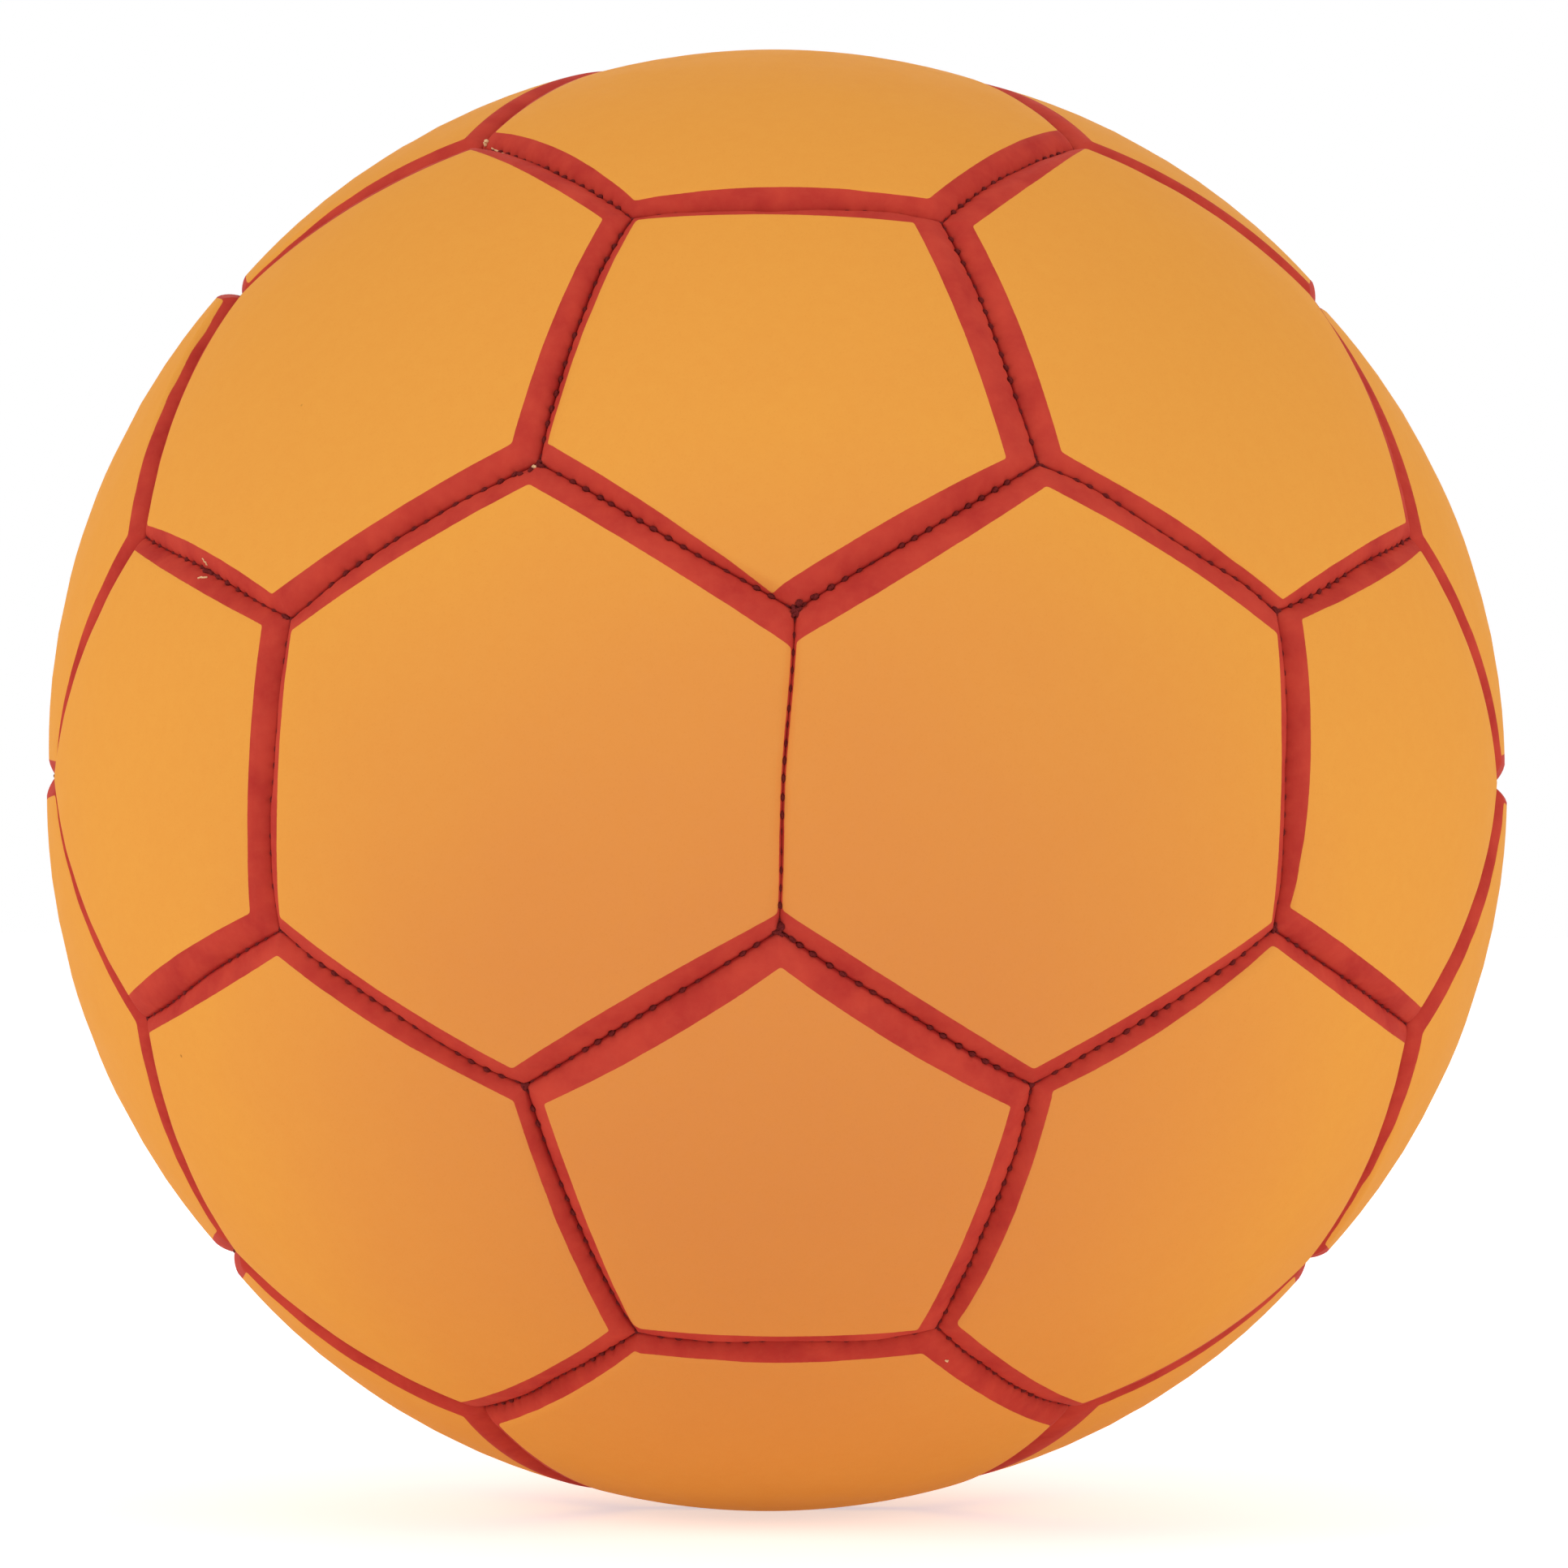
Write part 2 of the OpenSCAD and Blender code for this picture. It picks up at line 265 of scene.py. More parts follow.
def seen_seam(a, b):
    """What the photograph shows of a seam, from corner a to corner b: sway, right, left, line, plain."""
    a, b = seen_corner.get(a), seen_corner.get(b)
    if (a, b) in SEEN_SEAMS:
        return SEEN_SEAMS[a, b]
    if (b, a) in SEEN_SEAMS:
        (s1, s2, s3), right, left, line, plain = SEEN_SEAMS[b, a]
        return (-s1, s2, -s3), (left[1], left[0], left[2]), (right[1], right[0], right[2]), line, plain
    return None


TIGHT = next(k for k in seams if {seen_corner.get(c) for c in k} == {1, 2})


def seam_facts(key, pair):
    """Length, stitches and crease of the seam between two corners, which joins two panels."""
    length = math.acos(float(corners[key[0]] @ corners[key[1]])) * FOOT_R
    r = np.random.default_rng(SEED + 31 * key[0] + 977 * key[1])
    share = (np.arange(STITCHES) + 0.5) / STITCHES
    share = share + r.normal(0, 0.055, STITCHES) / STITCHES
    tight = key == TIGHT
    seen = seen_seam(*key)
    if seen:
        sway, _, _, line, plain = seen
    else:
        sway, line, plain = r.normal(0, (0.3, 0.12, 0.06)), r.uniform(0.3, 0.95), r.uniform(0.3, 1.0)
    wave = waves(r.integers(1 << 30), (11, 23), (0.22, 0.28))(share * length) + r.normal(0, 0.12, STITCHES)
    open_ = np.clip(0.30 + 0.60 * plain + wave * (0.4 + 0.6 * plain), 0.05, 1.15)
    if tight:
        open_ = open_ * 0.7
    ends = np.minimum(share, 1 - share) * length
    open_ = open_ * (0.35 + 0.65 * smooth((ends - 0.5) / 3.0))
    return {
        "length": length,
        "share": share,
        "open": open_,
        "tight": tight,
        "sway": np.array(sway),
        "line": line,
        "deep": waves(r.integers(1 << 30), (9, 17), (0.05, 0.06)),
        "is_pentagon": any(p < 12 for p in pair),
    }


def swayed(parts, u):
    """How far a seam's crease lies to its left at a share of its length, in mm."""
    u = np.clip(u, 0, 1)
    return sum(a * np.sin((j + 1) * math.pi * u) for j, a in enumerate(parts))


facts = {key: seam_facts(key, pair) for key, pair in seams.items()}

# Columns of the mesh round each stitch, as shares of the seam
PHASES = np.array([-0.30, -0.19, -0.11, 0.0, 0.11, 0.19, 0.30]) / STITCHES


def columns_of(share):
    """Where a seam's mesh has its columns: its start, then seven round each stitch and one between two."""
    between = np.concatenate([[0.0], (share[1:] + share[:-1]) / 2])
    return np.concatenate([np.concatenate([[m], s + PHASES]) for m, s in zip(between, share)])


# One cover panel

# Shares of the way from a seam to the dome at which the roll has its rings of points
ROLL = [0.0, 0.035, 0.085, 0.15, 0.23, 0.33, 0.45, 0.60, 0.78, 1.0]
# Rings past the roll: how far past it in mm, one of how many columns they keep, and how much they sway
BEYOND = [(0.7, 1, 0.8), (1.8, 4, 0.55), (3.6, 4, 0.25)]
# Rings further in, by the number of a panel's edges, as shares of the way to its middle; then one of how many
# points they keep of the ring at the rim, on the outer and on the inner side
INWARD = {5: [0.12, 0.28, 0.5, 0.76], 6: [0.1, 0.24, 0.44, 0.7]}
OUTER_EVERY, INNER_EVERY = [2, 2, 12, 12], [3, 3, 1, 1]
# Rings at the rim of the inner side: how far in from the hem and how far below the skin they are, in mm
INNER_RIM = [(2.2, 0.0), (0.7, 0.45), (0.0, 1.6)]
# Rings round the valve's hole: how far out from it and how far down they are, in mm
HOLE_RIM = [(1.1, 0.0), (0.45, 0.05), (0.12, 0.22), (0.0, 0.5)]
ROLL_EASE, FOOT_EASE, SWELL_EASE = 4.5, 4.0, 3.0  # how far from a corner a seam's own shape is full, in mm
HOLE_W, PULL_W = 0.34, 0.55  # how far a stitch opens a seam and pulls it down along it, in mm
PULL_AT, PULL_SHARE, PULL_DEPTH = 0.10, 0.14, 0.06  # where on the roll it pulls, how far round that, how deep
LEAST_Y = 0.005  # how near a roll comes to the middle of its seam
CREASE_FAR, CREASE_NEAR = 0.28, 0.38  # what a seam adds to its crease's distance, and a dark line takes off
ROLL_LEAST, ROLL_MOST = 1.5, 2.6  # limits of a roll's width
ROLL_FOLLOWS = 0.35  # how much of that width follows the printed band's
TIGHT_CORNER_W = 0.9  # how much wider the closed seam's roll is at its corners
STITCH_OPENS, CORNER_OPENS = 0.24, 0.08  # how far stitches and corners open a seam
CORNER_REACH = 0.5  # and how far along it a corner does
MOUTH_SHARE = 0.32  # share of the roll over which that opening closes
HEM_DOWN = (1.1, 0.45)  # how far under the groove's bottom the hem has its two upper rings
LEAN_AT = 20.0  # how far from the middle the numbers for a lean count


def meeting(m0, m1, corner, s0, s1):
    """Unit vector at sine s0 over plane m0 and sine s1 over plane m1, near a corner."""
    c = float(m0 @ m1)
    a = (s0 - c * s1) / (1 - c * c)
    b = (s1 - c * s0) / (1 - c * c)
    flat = a * m0 + b * m1
    return flat + math.sqrt(max(1 - flat @ flat, 0)) * corner


def band_widths(a, b, seed):
    """Width of the printed band on the left of the seam from corner a to b: at a, at b, and extra between."""
    seen = seen_seam(a, b)
    if seen:
        return seen[2]
    r = np.random.default_rng(seed)
    return (*r.normal(2.2, 0.5, 2), r.normal(0.3, 0.15))


def strip(first_a, count_a, first_b, count_b):
    """Faces between two rings of points, either of which may be finer or a single point."""
    if count_a < count_b:
        return [face[::-1] for face in strip(first_b, count_b, first_a, count_a)]
    if count_b == 1:
        return [(first_a + i, first_a + (i + 1) % count_a, first_b) for i in range(count_a)]
    faces = []
    ratio = count_a // count_b
    half = (ratio + 1) // 2
    for i in range(count_b):
        b0, b1 = first_b + i, first_b + (i + 1) % count_b
        fine = [first_a + (i * ratio + t) % count_a for t in range(ratio + 1)]
        if ratio == 1:
            faces.append((fine[0], fine[1], b1, b0))
            continue
        faces += [(fine[t], fine[t + 1], b0 if t < half else b1) for t in range(ratio)]
        faces.append((fine[half], b1, b0))
    return faces


class Panel:
    """One cover panel. k is an edge's number, s a place along it in mm, p an array of unit vectors."""

    def __init__(self, panel):
        ids = panel["ids"]
        self.n = len(ids)
        self.has_hole = panel.get("hole", False)
        self.axis = panel["axis"]
        # each edge's start, its plane's normal and its direction at the start
        self.C = corners[ids]
        after = np.roll(self.C, -1, axis=0)
        self.m = unit(np.cross(self.C, after))
        self.T = np.cross(self.m, self.C)
        self.length = np.array([math.acos(float(a @ b)) for a, b in zip(self.C, after)]) * FOOT_R
        self.edges = []
        for k in range(self.n):
            a, b = ids[k], ids[(k + 1) % self.n]
            f = facts[min(a, b), max(a, b)]
            share = f["share"] if a < b else 1 - f["share"][::-1]
            seed = SEED + 101 * panel["number"] + 7 * k
            self.edges.append({
                "flip": a > b,
                "facts": f,
                "sway": f["sway"] if a < b else f["sway"] * np.array([-1, 1, -1]),
                "share": share,
                "open": f["open"] if a < b else f["open"][::-1],
                "columns": columns_of(share),
                "pull": np.random.default_rng(seed).uniform(0.6, 1.25, STITCHES),
                "wave": waves(seed + 1, (5.5, 9.0, 15.0), (0.035, 0.05, 0.05)),
                "swell": waves(seed + 2, (4.2, 7.5, 13.0), (0.020, 0.035, 0.04)),
                "band": band_widths(a, b, SEED + 13 * panel["number"] + 3 * k),
            })
        mid = unit(self.C + after)
        self.mid_angle = float(np.mean([math.acos(float(self.axis @ v)) for v in mid]))
        self.x = unit(np.cross(self.axis, (0.3, 0.2, 0.9)))
        self.y = np.cross(self.axis, self.x)
        some = np.random.default_rng(SEED + 400 + panel["number"]).normal(0, (0.10, 0.09, 0.09))
        self.leans = LEANS.get(panel["node"], some)
        self.verts, self.rings = [], []

    def along(self, k, p):
        """Place along an edge, in mm from its start."""
        return np.arctan2(p @ self.T[k], p @ self.C[k]) * FOOT_R

    def across(self, k, p):
        """Distance from an edge's plane, in mm toward the panel."""
        return np.arcsin(np.clip(p @ self.m[k], -1, 1)) * FOOT_R

    def ends(self, k, s):
        """Distance from the nearer corner, in mm."""
        return np.minimum(s, self.length[k] - s)

    def sway(self, k, s):
        """How far the crease lies from the edge's plane, in mm toward the panel."""
        return swayed(self.edges[k]["sway"], s / self.length[k])

    def roll_width(self, k, s):
        """How far the rolled edge goes from the crease to the dome, in mm."""
        e = self.edges[k]
        f = smooth(self.ends(k, s) / ROLL_EASE)
        if e["facts"]["tight"]:
            return TIGHT_ROLL_W + (1 - f) * TIGHT_CORNER_W
        start, end, _ = e["band"]
        band = start + (end - start) * np.clip(s / self.length[k], 0, 1) - self.sway(k, s)
        wide = ROLL_FOLLOWS * band + (1 - ROLL_FOLLOWS) * ROLL_W
        return np.clip(wide, ROLL_LEAST, ROLL_MOST) + f * e["wave"](s)

    def foot_r(self, k, s):
        """Radius of the bottom of a seam's groove."""
        e = self.edges[k]
        f = smooth(self.ends(k, s) / FOOT_EASE)
        if e["facts"]["tight"]:
            return FOOT_R + (TIGHT_FOOT_R - FOOT_R) * f
        return FOOT_R + f * e["facts"]["deep"](self.length[k] - s if e["flip"] else s)

    def hole(self, k, s):
        """How much the stitches open the seam, from 0 to about 1."""
        e = self.edges[k]
        d = s[:, None] - e["share"][None, :] * self.length[k]
        return (np.exp(-((d / HOLE_W) ** 4)) * e["open"]).sum(1)

    def pull(self, k, s):
        """How hard the stitches pull the roll down, from 0 to about 1."""
        e = self.edges[k]
        d = s[:, None] - e["share"][None, :] * self.length[k]
        return (np.exp(-((d / PULL_W) ** 2)) * e["pull"] * e["open"]).sum(1)

    def mouth(self, k, s, share):
        """How far the panel stands off the crease in mm, with a share of what stitches and corners open."""
        corner = np.exp(-((self.ends(k, s) / CORNER_REACH) ** 2))
        line = self.edges[k]["facts"]["line"]
        opened = STITCH_OPENS * self.hole(k, s) + CORNER_OPENS * corner
        return HEM_Y * (0.4 + 0.6 * line) + share * opened

    def band_distance(self, k, p):
        """Distance past the printed band's border in mm, below 0 on the band."""
        s = self.along(k, p)
        u = s / self.length[k]
        start, end, bow = self.edges[k]["band"]
        w = start + (end - start) * u + bow * 4 * np.clip(u * (1 - u), -0.2, 0.25)
        if self.edges[k]["facts"]["tight"]:
            w = TIGHT_BAND_W + self.sway(k, s)
        return self.across(k, p) - w

    def crease_distance(self, k, p):
        """Distance from the crease in mm, for the painted shade in the groove, taken as more where the seam
        shows no dark line.
        """
        s = self.along(k, p)
        line = self.edges[k]["facts"]["line"]
        off = self.across(k, p) - self.sway(k, s)
        return off + (CREASE_FAR - CREASE_NEAR * line) * smooth(self.ends(k, s) / SWELL_EASE)

    def offset_ring(self, lateral, columns, sway=1.0):
        """Closed ring of unit vectors at a lateral distance from each crease. lateral(k, s) is in mm."""
        starts = []
        for k in range(self.n):
            before = (k - 1) % self.n
            p = self.C[k]
            for _ in range(4):  # the sway moves the point along both edges
                off = []
                for e in (before, k):
                    s = np.array([self.along(e, p)])
                    off.append(math.sin(float((lateral(e, s) + sway * self.sway(e, s))[0]) / FOOT_R))
                p = meeting(self.m[before], self.m[k], self.C[k], off[0], off[1])
            starts.append(p)
        out = []
        for k in range(self.n):
            f0, f1 = (self.along(k, starts[j % self.n]) / FOOT_R for j in (k, k + 1))
            f = f0 + (f1 - f0) * columns[k]
            y = (lateral(k, f * FOOT_R) + sway * self.sway(k, f * FOOT_R)) / FOOT_R
            foot = np.cos(f)[:, None] * self.C[k] + np.sin(f)[:, None] * self.T[k]
            out.append(np.cos(y)[:, None] * foot + np.sin(y)[:, None] * self.m[k])
        return np.concatenate(out)

    def per_edge(self, ring, value):
        """value(k, s) at the points of a ring with all columns."""
        parts = np.split(ring, self.n)
        return np.concatenate([value(k, self.along(k, part)) for k, part in enumerate(parts)])

    def dome_r(self, p):
        """Radius of the panel's domed top, before it leans."""
        angle = np.arccos(np.clip(p @ self.axis, -1, 1))
        return CROWN_R - DOME_SAG * (angle / self.mid_angle) ** DOME_POWER

    def top_r(self, p):
        """Radius of the panel's top."""
        out, x, y = self.leans
        return self.dome_r(p) + out + (x * (p @ self.x) + y * (p @ self.y)) * CROWN_R / LEAN_AT

    def toward_middle(self, ring, share, every):
        return unit((1 - share) * ring[::every] + share * self.axis)

    def circle(self, radius, like):
        """Unit vectors on a circle about the middle, turned as the points of another ring are."""
        angle = np.arctan2(like @ self.y, like @ self.x)
        s = radius / CROWN_R
        turn = np.cos(angle)[:, None] * self.x + np.sin(angle)[:, None] * self.y
        return math.sqrt(1 - s * s) * self.axis + s * turn

    def add_ring(self, ring, radius, inner=False):
        """Adds a ring of points. radius is one number or one for each. Faces at inner rings look flat."""
        points = ring * np.reshape(radius, (-1, 1))
        self.rings.append((sum(len(v) for v in self.verts), len(points), inner))
        self.verts.append(points)

    def build_inner(self):
        """The inner side, coarse, from the middle out and down to the hem's end."""
        columns = [np.arange(STITCHES) / STITCHES] * self.n
        rim = []
        for inward, drop in INNER_RIM:
            ring = self.offset_ring(lambda k, s: np.full_like(s, SKIN_T + inward), columns)
            rim.append((ring, self.dome_r(ring) - SKIN_T - drop))
        rim.append((ring, HEM_R))
        rings = [self.toward_middle(rim[0][0], *way) for way in zip(INWARD[self.n], INNER_EVERY)][::-1]
        middle = self.circle(HOLE_R, rings[0]) if self.has_hole else self.axis[None, :]
        self.add_ring(middle, CROWN_R - SKIN_T, True)
        for ring in rings:
            self.add_ring(ring, self.dome_r(ring) - SKIN_T, True)
        for ring, radius in rim:
            self.add_ring(ring, radius, True)
        # the outer side of the hem's end
        self.add_ring(self.offset_ring(lambda k, s: np.full_like(s, HEM_Y), columns), HEM_R)

    def build(self):
        """Vertices in mm, faces, and whether each face is shaded smooth."""
        self.build_inner()
        dense = [e["columns"] for e in self.edges]

        # hem wall, up to the foot of the roll
        ring = self.offset_ring(lambda k, s: np.full_like(s, HEM_Y), dense)
        foot = self.per_edge(ring, self.foot_r)
        self.add_ring(ring, foot - HEM_DOWN[0])
        self.add_ring(self.offset_ring(lambda k, s: self.mouth(k, s, 0.8), dense), foot - HEM_DOWN[1])

        # the roll, from the foot to the dome
        for t in ROLL:
            fade = max(0.0, 1 - t / MOUTH_SHARE) ** 1.5

            def lateral(k, s):
                rolled = LEAST_Y + (self.roll_width(k, s) - LEAST_Y) * t
                return rolled + (self.mouth(k, s, 1.0) - LEAST_Y) * fade

            ring = self.offset_ring(lateral, dense)
            # convex, steepest at its foot
            drop = 1 - (1 - (1 - t) ** ROLL_POWER) ** (1 / ROLL_POWER)
            top = self.top_r(ring)
            swell = self.per_edge(
                ring, lambda k, s: self.edges[k]["swell"](s) * smooth(self.ends(k, s) / SWELL_EASE)
            )
            pull = self.per_edge(ring, self.pull)
            body = math.sin(math.pi * min(1.0, t ** 0.7))
            here = math.exp(-((t - PULL_AT) / PULL_SHARE) ** 2)
            foot = self.per_edge(ring, self.foot_r)
            self.add_ring(ring, top - (top - foot) * drop + body * swell - PULL_DEPTH * pull * here)

        for extra, every, sway in BEYOND:
            columns = [d[::every] for d in dense]
            ring = self.offset_ring(lambda k, s: self.roll_width(k, s) + extra, columns, sway)
            self.add_ring(ring, self.top_r(ring))
        rim = ring
        for share, every in zip(INWARD[self.n], OUTER_EVERY):
            ring = self.toward_middle(rim, share, every)
            self.add_ring(ring, self.top_r(ring))
        if self.has_hole:
            last = ring
            for out, drop in HOLE_RIM:
                ring = self.circle(HOLE_R + out, last)
                self.add_ring(ring, self.top_r(ring) - drop)
        else:
            self.add_ring(self.axis[None, :], CROWN_R + self.leans[0])

        faces, smooth_faces = [], []
        pairs = list(zip(self.rings, self.rings[1:]))
        if self.has_hole:
            pairs.append((self.rings[-1], self.rings[0]))
        for (first_a, count_a, inner_a), (first_b, count_b, inner_b) in pairs:
            some = strip(first_a, count_a, first_b, count_b)
            faces += some
            smooth_faces += [not (inner_a or inner_b)] * len(some)
        return np.concatenate(self.verts), faces, smooth_faces


# Materials
def linear(r, g, b):
    """sRGB 0 to 255 as a linear colour."""
    def one(c):
        c /= 255
        return c / 12.92 if c <= 0.04045 else ((c + 0.055) / 1.055) ** 2.4
    return one(r), one(g), one(b), 1.0


class Nodes:
    """Short calls for the nodes of a new material with the name given, or of a world."""

    def __init__(self, owner):
        self.owner = bpy.data.materials.new(owner) if isinstance(owner, str) else owner
        self.owner.use_nodes = True
        self.tree = self.owner.node_tree
        self.shader = self.tree.nodes.get("Principled BSDF") or self.tree.nodes["Background"]

    def add(self, kind, **settings):
        node = self.tree.nodes.new(kind)
        inputs = settings.pop("inputs", {})
        for key, value in settings.items():
            setattr(node, key, value)
        for key, value in inputs.items():
            self.put(node, key, value)
        return node

    def put(self, node, key, value):
        if isinstance(value, bpy.types.NodeSocket):
            self.tree.links.new(value, node.inputs[key])
        else:
            node.inputs[key].default_value = value

    def math(self, operation, *values):
        return self.add("ShaderNodeMath", operation=operation, inputs=dict(enumerate(values))).outputs[0]

    def times(self, a, b):
        return self.math("MULTIPLY", a, b)

    def stored(self, name):
        """A number that the mesh stores for each vertex."""
        return self.add("ShaderNodeAttribute", attribute_name=name).outputs["Fac"]

    def texture(self, kind, size_mm, inputs=None, **settings):
        """A texture in the object's own space. size_mm is about the size of one of its features."""
        place = self.add("ShaderNodeTexCoord").outputs["Object"]
        inputs = {"Scale": 1 / (size_mm * MM), "Vector": place, **(inputs or {})}
        return self.add("ShaderNodeTex" + kind, inputs=inputs, **settings).outputs

    def noise(self, size_mm, detail=2.0, roughness=0.5):
        return self.texture("Noise", size_mm, {"Detail": detail, "Roughness": roughness})["Fac"]

    def bands(self, size_mm, direction, distortion, detail):
        inputs = {"Distortion": distortion, "Detail": detail}
        return self.texture("Wave", size_mm, inputs, wave_type="BANDS", bands_direction=direction)["Fac"]

    def camera_side(self):
        """1 for rays from the camera, mirrored or let through, 0 for those that light the object."""
        rays = self.add("ShaderNodeLightPath").outputs
        bent = self.math("MAXIMUM", rays["Is Glossy Ray"], rays["Is Transmission Ray"])
        return self.math("MAXIMUM", rays["Is Camera Ray"], bent)

    def ramp(self, value, low, high, to_low=0.0, to_high=1.0, smooth_step=False):
        inputs = {"Value": value, "From Min": low, "From Max": high, "To Min": to_low, "To Max": to_high}
        kind = "SMOOTHSTEP" if smooth_step else "LINEAR"
        return self.add("ShaderNodeMapRange", interpolation_type=kind, inputs=inputs).outputs["Result"]

    def mix(self, factor, a, b):
        return self.add("ShaderNodeMix", data_type="RGBA", inputs={0: factor, 6: a, 7: b}).outputs[2]

    def bump(self, height, distance_mm, strength=1.0, normal=None):
        inputs = {"Height": height, "Distance": distance_mm * MM, "Strength": strength}
        if normal is not None:
            inputs["Normal"] = normal
        return self.add("ShaderNodeBump", inputs=inputs).outputs["Normal"]

    def set(self, **values):
        for key, value in values.items():
            self.put(self.shader, key.replace("_", " "), value)
        return self.owner


ORANGE = linear(238, 165, 73)
# random cloudy tone, and painted shade low on the front of the ball
ORANGE_CLOUD_AND_SHADE = linear(228, 147, 77)
ORANGE_MOTTLE = linear(231, 147, 60)
ORANGE_PORES = linear(206, 120, 46)
SPECK = linear(120, 66, 30)
RED = linear(201, 70, 56)
RED_DEEP = linear(185, 57, 50)
# painted highlights: lighter pinkish reds for small spots and broad patches of the band
RED_SPOT_HIGHLIGHT = linear(214, 92, 70)
RED_PATCH_HIGHLIGHT = linear(212, 82, 64)
# painted shade at the bottom of a seam's groove
PAINTED_CREASE_SHADE = linear(166, 42, 39)
WHITE = (1, 1, 1, 1)
MAX_EDGES = 6


def cover_material():
    m = Nodes("cover_skin")
    nearest = m.stored("band_0")
    for k in range(1, MAX_EDGES):
        nearest = m.math("SMOOTH_MIN", nearest, m.stored(f"band_{k}"), 0.5)
    # the print's border wanders a little
    wander = m.times(m.math("SUBTRACT", m.noise(4.0, 1.0), 0.5), 0.12)
    wander = m.math("ADD", wander, m.times(m.math("SUBTRACT", m.noise(0.5, 1.0), 0.5), 0.05))
    skin = m.ramp(m.math("ADD", nearest, wander), -0.03, 0.03, smooth_step=True)

    # painted shade: the orange is redder and a little darker low on the front of the ball; the clouds add
    # random tone on top
    low = m.add("ShaderNodeVectorMath", operation="DOT_PRODUCT")
    m.put(low, 0, m.add("ShaderNodeTexCoord").outputs["Object"])
    m.put(low, 1, (0.0, -0.92 / (BALL_R * MM), -0.40 / (BALL_R * MM)))
    clouds = m.math("SUBTRACT", m.noise(24, 3.0, 0.55), 0.5)
    deep = m.math("MULTIPLY_ADD", clouds, 0.35, m.ramp(low.outputs["Value"], 0.65, 0.98))
    orange = m.mix(deep, ORANGE, ORANGE_CLOUD_AND_SHADE)
    mottle = m.ramp(m.noise(1.7, 3.0, 0.6), 0.35, 0.65)
    orange = m.mix(m.times(mottle, 0.10), orange, ORANGE_MOTTLE)
    grain = m.texture("Voronoi", 0.42)["Distance"]
    pores = m.ramp(grain, 0.0, 0.32, 1.0, 0.0)
    orange = m.mix(m.times(pores, 0.10), orange, ORANGE_PORES)
    # a few tiny dark specks of dust
    cells = m.texture("Voronoi", 13)
    dot = m.ramp(cells["Distance"], 0.008, 0.020, 1.0, 0.0)
    chance = m.add("ShaderNodeSeparateColor", inputs={0: cells["Color"]}).outputs[0]
    dot = m.times(dot, m.math("GREATER_THAN", chance, 0.72))
    orange = m.mix(m.times(dot, 0.55), orange, SPECK)

    red = m.mix(m.ramp(m.noise(4.5), 0.3, 0.7), RED, RED_DEEP)
    # painted highlights: lighter pinkish red in small spots and in broad patches, placed at random
    red = m.mix(m.times(m.ramp(m.noise(0.9, 2.0, 0.6), 0.4, 0.7), 0.12), red, RED_SPOT_HIGHLIGHT)
    red = m.mix(m.times(m.ramp(m.noise(8.0), 0.45, 0.65), 0.25), red, RED_PATCH_HIGHLIGHT)
    # painted shade: the bottom of the groove is darker red, where shade falls
    groove = m.ramp(m.stored("seam"), 0.02, 0.32, 1.0, 0.0, smooth_step=True)
    colour = m.mix(skin, red, orange)
    colour = m.mix(m.times(groove, 0.85), colour, PAINTED_CREASE_SHADE)

    pebble = m.math("ADD", m.times(grain, 0.6), m.times(m.noise(0.16, 2.0, 0.6), 0.4))
    normal = m.bump(pebble, 0.018, m.ramp(skin, 0, 1, 0.45, 1.0))
    normal = m.bump(m.noise(3.2), 0.03, 0.5, normal)
    # the print has a thickness
    normal = m.bump(skin, 0.02, 0.5, normal)

    # the print is a little smoother than the skin
    rough = m.ramp(m.noise(6.0, 3.0, 0.6), 0.3, 0.7, 0.56, 0.66)
    rough = m.math("SUBTRACT", rough, m.times(m.math("SUBTRACT", 1.0, skin), 0.03))
    return m.set(Base_Color=colour, Roughness=rough, Normal=normal, Specular_IOR_Level=0.01)


def thread_material():
    m = Nodes("black_thread")
    strands = m.bands(0.9, "DIAGONAL", 3.0, 2.0)
    fuzz = m.noise(0.12, 3.0, 0.7)
    colour = m.mix(m.ramp(fuzz, 0.35, 0.7), linear(90, 23, 25), linear(128, 42, 40))
    normal = m.bump(strands, 0.05, 0.8, m.bump(fuzz, 0.03, 0.6))
    rough = m.ramp(fuzz, 0.3, 0.7, 0.75, 0.95)
    return m.set(Base_Color=colour, Normal=normal, Roughness=rough, Specular_IOR_Level=0.12)


def pale_thread_material():
    m = Nodes("loose_thread")
    fuzz = m.noise(0.10, 3.0, 0.7)
    colour = m.mix(m.ramp(fuzz, 0.3, 0.7), linear(245, 212, 165), linear(212, 158, 104))
    normal = m.bump(fuzz, 0.03, 0.7)
    return m.set(Base_Color=colour, Normal=normal, Roughness=m.ramp(fuzz, 0.3, 0.7, 0.7, 0.9))


def foam_material():
    m = Nodes("foam")
    cells = m.texture("Voronoi", 0.45)["Distance"]
    colour = m.mix(m.ramp(cells, 0.1, 0.6), linear(236, 231, 216), linear(214, 206, 186))
    colour = m.mix(m.times(m.noise(8, 3.0), 0.25), colour, linear(224, 212, 184))
    rough = m.ramp(m.noise(1.2), 0.3, 0.7, 0.85, 0.95)
    return m.set(Base_Color=colour, Normal=m.bump(cells, 0.12, 0.8), Roughness=rough)


def weave_material():
    m = Nodes("backing_fabric")
    x, y, z = (m.bands(1.9, direction, 0.6, 1.0) for direction in "XYZ")
    weave = m.math("MAXIMUM", m.times(x, y), z)
    colour = m.mix(m.ramp(weave, 0.2, 0.8), linear(196, 188, 170), linear(232, 226, 210))
    colour = m.mix(m.times(m.noise(0.3), 0.2), colour, linear(180, 168, 146))
    rough = m.ramp(m.noise(1.0), 0.3, 0.7, 0.8, 0.92)
    return m.set(Base_Color=colour, Normal=m.bump(weave, 0.10, 0.9), Roughness=rough, Sheen_Weight=0.2)


